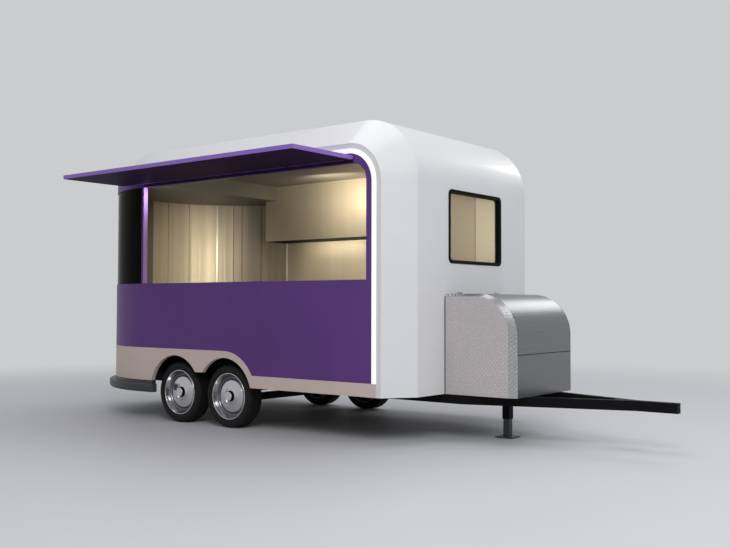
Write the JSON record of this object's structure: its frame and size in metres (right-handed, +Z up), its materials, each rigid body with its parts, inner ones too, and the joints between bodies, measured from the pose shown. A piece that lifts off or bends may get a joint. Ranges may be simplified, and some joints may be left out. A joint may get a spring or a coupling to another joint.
{
  "type": "concession trailer",
  "caption": "Tandem axle concession trailer with a round rear, side serving hatch, entry door, front tool box and drawbar.",
  "frame": {"origin": "middle of the vertical hitch pin hole at the front end of the drawbar", "axes": "+X forward along the drawbar, +Y to the door side, +Z up; the serving side is -Y"},
  "size_m": [5.8575, 2.931, 2.55],
  "materials": {
    "white_gelcoat": "glossy white moulded panel",
    "grey_band": "satin light grey edge band",
    "bright_lip": "bright white trim line",
    "purple_panel": "satin purple panel",
    "purple_hatch": "satin purple hatch",
    "beige_skirt": "satin warm beige skirt",
    "bumper": "dark grey moulded bumper",
    "lamp_lens": "red lens",
    "smoked_glass": "dark curved glass",
    "clear_glass": "clear window pane",
    "window_frame": "black moulded frame",
    "lining": "warm brushed metal lining",
    "ceiling": "satin warm ceiling",
    "worktop": "brushed worktop",
    "floor": "grey coated plywood floor",
    "wheel_box": "black moulded wheel box",
    "black_steel": "black painted steel",
    "hinge_metal": "painted hinge",
    "door_metal": "brushed handle",
    "zinc_steel": "zinc plated steel",
    "tyre": "black rubber",
    "wheel": "polished wheel",
    "tread_plate": "patterned metal sheet",
    "brushed_lid": "brushed metal sheet"
  },
  "bodies": {
    "trailer": {"front_wall": "white_gelcoat", "roof_shell": "white_gelcoat", "side_bands": "grey_band", "side_skirts": "beige_skirt", "serving_panel": "purple_panel", "door_panel": "purple_panel", "lip_trim": "bright_lip", "rear_wall": "purple_panel", "rear_skirt": "beige_skirt", "tail_lamps": "lamp_lens", "corner_glass": "smoked_glass", "floor_panel": "floor", "wheel_boxes": "wheel_box", "wall_lining": "lining", "ceiling_panel": "ceiling", "rear_soffit": "ceiling", "overhead_housing": "lining", "serving_counter": "worktop", "back_counter": "worktop", "window_frame": "window_frame", "window_pane": "clear_glass", "hatch_hinge": "hinge_metal", "door_hinges": "door_metal", "frame_rails": "black_steel", "nose_rails": "black_steel", "drawbar": "black_steel", "cross_members": "black_steel", "jack_tube": "black_steel", "axle_beams": "black_steel", "axle_arms": "black_steel", "bumper": "bumper", "tool_box": "tread_plate"},
    "hatch": {"hatch_panel": "purple_hatch"},
    "door": {"entry_door": "purple_panel", "door_handle": "door_metal"},
    "jack": {"jack_leg": "zinc_steel"},
    "tool_lid": {"tool_box_lid": "brushed_lid"},
    "front_near_wheel": {"tyre_front_near": "tyre", "wheel_front_near": "wheel"},
    "front_far_wheel": {"tyre_front_far": "tyre", "wheel_front_far": "wheel"},
    "rear_near_wheel": {"tyre_rear_near": "tyre", "wheel_rear_near": "wheel"},
    "rear_far_wheel": {"tyre_rear_far": "tyre", "wheel_rear_far": "wheel"}
  },
  "joints": [
    {"name": "hatch_swing", "type": "hinge", "parent": "trailer", "child": "hatch", "pos_m": [-3.59, -1.1075, 1.887], "axis": [1, 0, 0], "range_deg": [0, 90]},
    {"name": "door_swing", "type": "hinge", "parent": "trailer", "child": "door", "pos_m": [-2.3, 1.0975, 1.017], "axis": [0, 0, -1], "range_deg": [0, 110]},
    {"name": "tool_lid_swing", "type": "hinge", "parent": "trailer", "child": "tool_lid", "pos_m": [-1.624, 0, 0.844], "axis": [0, -1, 0], "range_deg": [0, 75]},
    {"name": "jack_slide", "type": "slide", "parent": "trailer", "child": "jack", "axis": [0, 0, 1], "range_m": [0, 0.12]},
    {"name": "front_near_spin", "type": "hinge", "parent": "trailer", "child": "front_near_wheel", "pos_m": [-3.541, -0.953, -0.055], "axis": [0, 1, 0], "continuous": true},
    {"name": "front_far_spin", "type": "hinge", "parent": "trailer", "child": "front_far_wheel", "pos_m": [-3.541, 0.953, -0.055], "axis": [0, 1, 0], "continuous": true},
    {"name": "rear_near_spin", "type": "hinge", "parent": "trailer", "child": "rear_near_wheel", "pos_m": [-4.181, -0.953, -0.055], "axis": [0, 1, 0], "continuous": true},
    {"name": "rear_far_spin", "type": "hinge", "parent": "trailer", "child": "rear_far_wheel", "pos_m": [-4.181, 0.953, -0.055], "axis": [0, 1, 0], "continuous": true}
  ]
}
